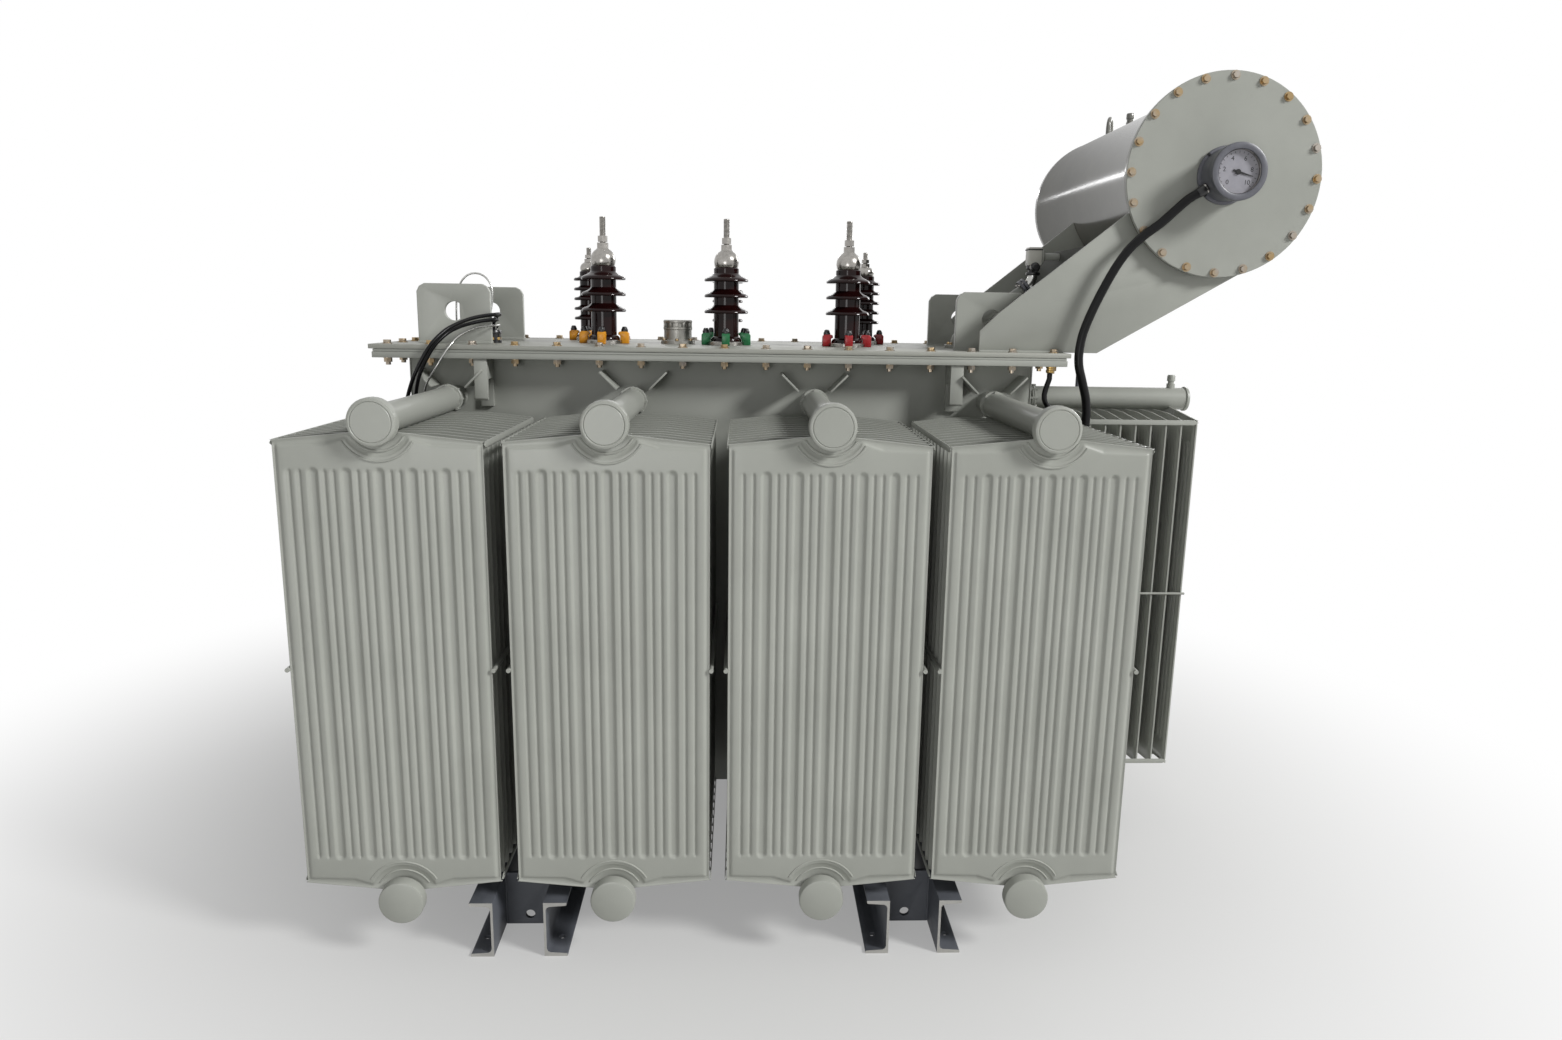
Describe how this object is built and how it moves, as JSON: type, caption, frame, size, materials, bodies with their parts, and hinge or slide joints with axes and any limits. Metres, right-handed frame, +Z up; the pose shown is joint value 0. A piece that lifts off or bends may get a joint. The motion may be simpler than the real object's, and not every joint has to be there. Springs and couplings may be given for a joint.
{
  "type": "power transformer",
  "caption": "Three-phase oil-immersed power transformer with pressed panel radiators, dark porcelain bushings and a drum conservator, on a base of steel channels.",
  "frame": {"origin": "centre of the bounding box at floor level", "axes": "+X along the tank's length towards the conservator, -Y towards the dial gauge's side, +Z up"},
  "size_m": [2.9276, 2.256, 2.5427],
  "materials": {
    "grey_paint": "semi-gloss",
    "dark_grey_paint": "satin",
    "gasket_rubber": "matte",
    "brown_porcelain": "gloss",
    "bare_steel": "satin",
    "cast_gauge_grey": "satin",
    "black_sheath": "matte",
    "capillary_metal": "satin"
  },
  "bodies": {
    "root": {"tank_body": "grey_paint", "tank_flange": "grey_paint", "cover_plate": "grey_paint", "lifting_lug_left_front": "grey_paint", "lifting_lug_left_back": "grey_paint", "lifting_lug_right_front": "grey_paint", "lifting_lug_right_back": "grey_paint", "radiator_front_1": "grey_paint", "radiator_front_2": "grey_paint", "radiator_front_3": "grey_paint", "radiator_front_4": "grey_paint", "radiator_back_1": "grey_paint", "radiator_back_2": "grey_paint", "radiator_back_3": "grey_paint", "radiator_back_4": "grey_paint", "radiator_end": "grey_paint", "conservator_shell": "grey_paint", "conservator_front_cover": "grey_paint", "conservator_lifting_eye": "grey_paint", "bracket_front": "grey_paint", "bracket_back": "grey_paint", "terminal_box": "grey_paint", "thermometer_box": "grey_paint", "rail_left_outer": "dark_grey_paint", "rail_left_inner": "dark_grey_paint", "rail_right_outer": "dark_grey_paint", "rail_right_inner": "dark_grey_paint", "rail_tie_left_front": "dark_grey_paint", "rail_tie_left_back": "dark_grey_paint", "rail_tie_right_front": "dark_grey_paint", "rail_tie_right_back": "dark_grey_paint", "bracket_tie_plate": "dark_grey_paint", "cover_gasket": "gasket_rubber", "hv_bushing_1": "brown_porcelain", "hv_bushing_2": "brown_porcelain", "hv_bushing_3": "brown_porcelain", "lv_bushing_1": "brown_porcelain", "lv_bushing_2": "brown_porcelain", "lv_bushing_3": "brown_porcelain", "hv_bushing_1_clamp": "bare_steel", "hv_bushing_2_clamp": "bare_steel", "hv_bushing_3_clamp": "bare_steel", "lv_bushing_1_clamp": "bare_steel", "lv_bushing_2_clamp": "bare_steel", "lv_bushing_3_clamp": "bare_steel", "relief_cap": "bare_steel", "conservator_pipe": "bare_steel", "oil_gauge": "cast_gauge_grey", "breather": "cast_gauge_grey", "gauge_cable": "black_sheath", "cover_cable": "black_sheath", "thermometer_cable_a": "black_sheath", "thermometer_cable_b": "black_sheath", "thermometer_pocket": "black_sheath", "capillary": "capillary_metal", "capillary_loop": "capillary_metal"}
  },
  "joints": []
}
